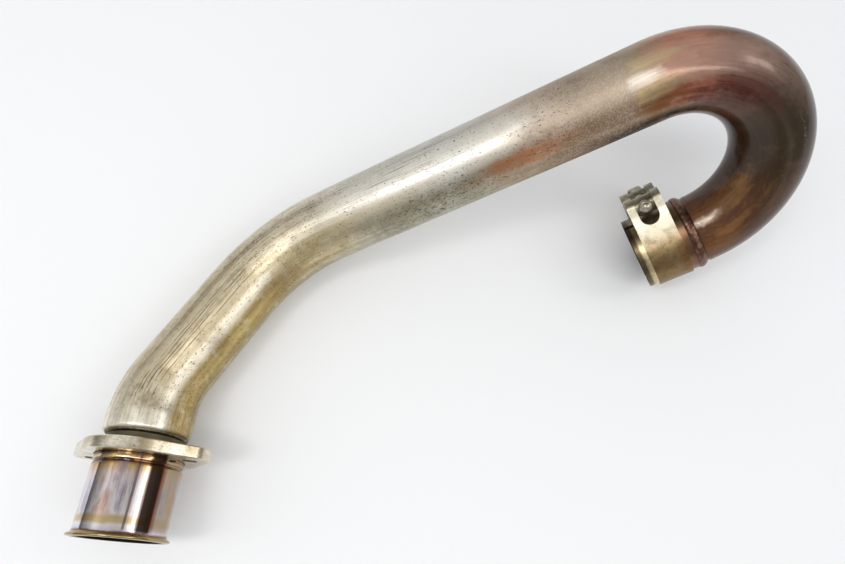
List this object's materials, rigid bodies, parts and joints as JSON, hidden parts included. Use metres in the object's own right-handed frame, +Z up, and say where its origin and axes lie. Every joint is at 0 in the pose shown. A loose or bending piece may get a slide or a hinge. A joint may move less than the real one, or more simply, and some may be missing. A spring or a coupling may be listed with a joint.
{
  "type": "motorcycle exhaust header",
  "caption": "Bent steel exhaust header pipe with a turned inlet spigot, loose stud flange, slotted outlet socket and trunnion band clamp.",
  "frame": {"origin": "centre of the bounding box at floor level, with the header lying as it comes to rest", "axes": "+Z up, +X along the longest extent, -Y towards the viewer of the picture"},
  "size_m": [0.408, 0.3035, 0.1468],
  "materials": {
    "tube_steel": "heat tinted stainless, scratched and pitted",
    "spigot_chrome": "polished, with straw and purple heat rings",
    "weld_steel": "grey weld",
    "flange_steel": "satin, edge worn",
    "socket_steel": "straw heat tint, sooty bore",
    "band_steel": "bright at the lugs, straw below",
    "bridge_steel": "dull",
    "barrel_steel": "olive grey zinc",
    "bolt_steel": "olive grey zinc"
  },
  "bodies": {
    "header": {"header_tube": "tube_steel", "inlet_spigot": "spigot_chrome", "inlet_weld": "weld_steel", "outlet_socket": "socket_steel", "outlet_weld": "weld_steel", "clamp_band": "band_steel", "clamp_bridge": "bridge_steel", "plain_barrel": "barrel_steel", "tapped_barrel": "barrel_steel", "clamp_bolt": "bolt_steel"},
    "flange": {"port_flange": "flange_steel"}
  },
  "joints": [
    {"name": "flange_slide", "type": "slide", "parent": "header", "child": "flange", "axis": [-0.0377, 0.982, -0.1848], "range_m": [-0.0385, 0.006]}
  ]
}
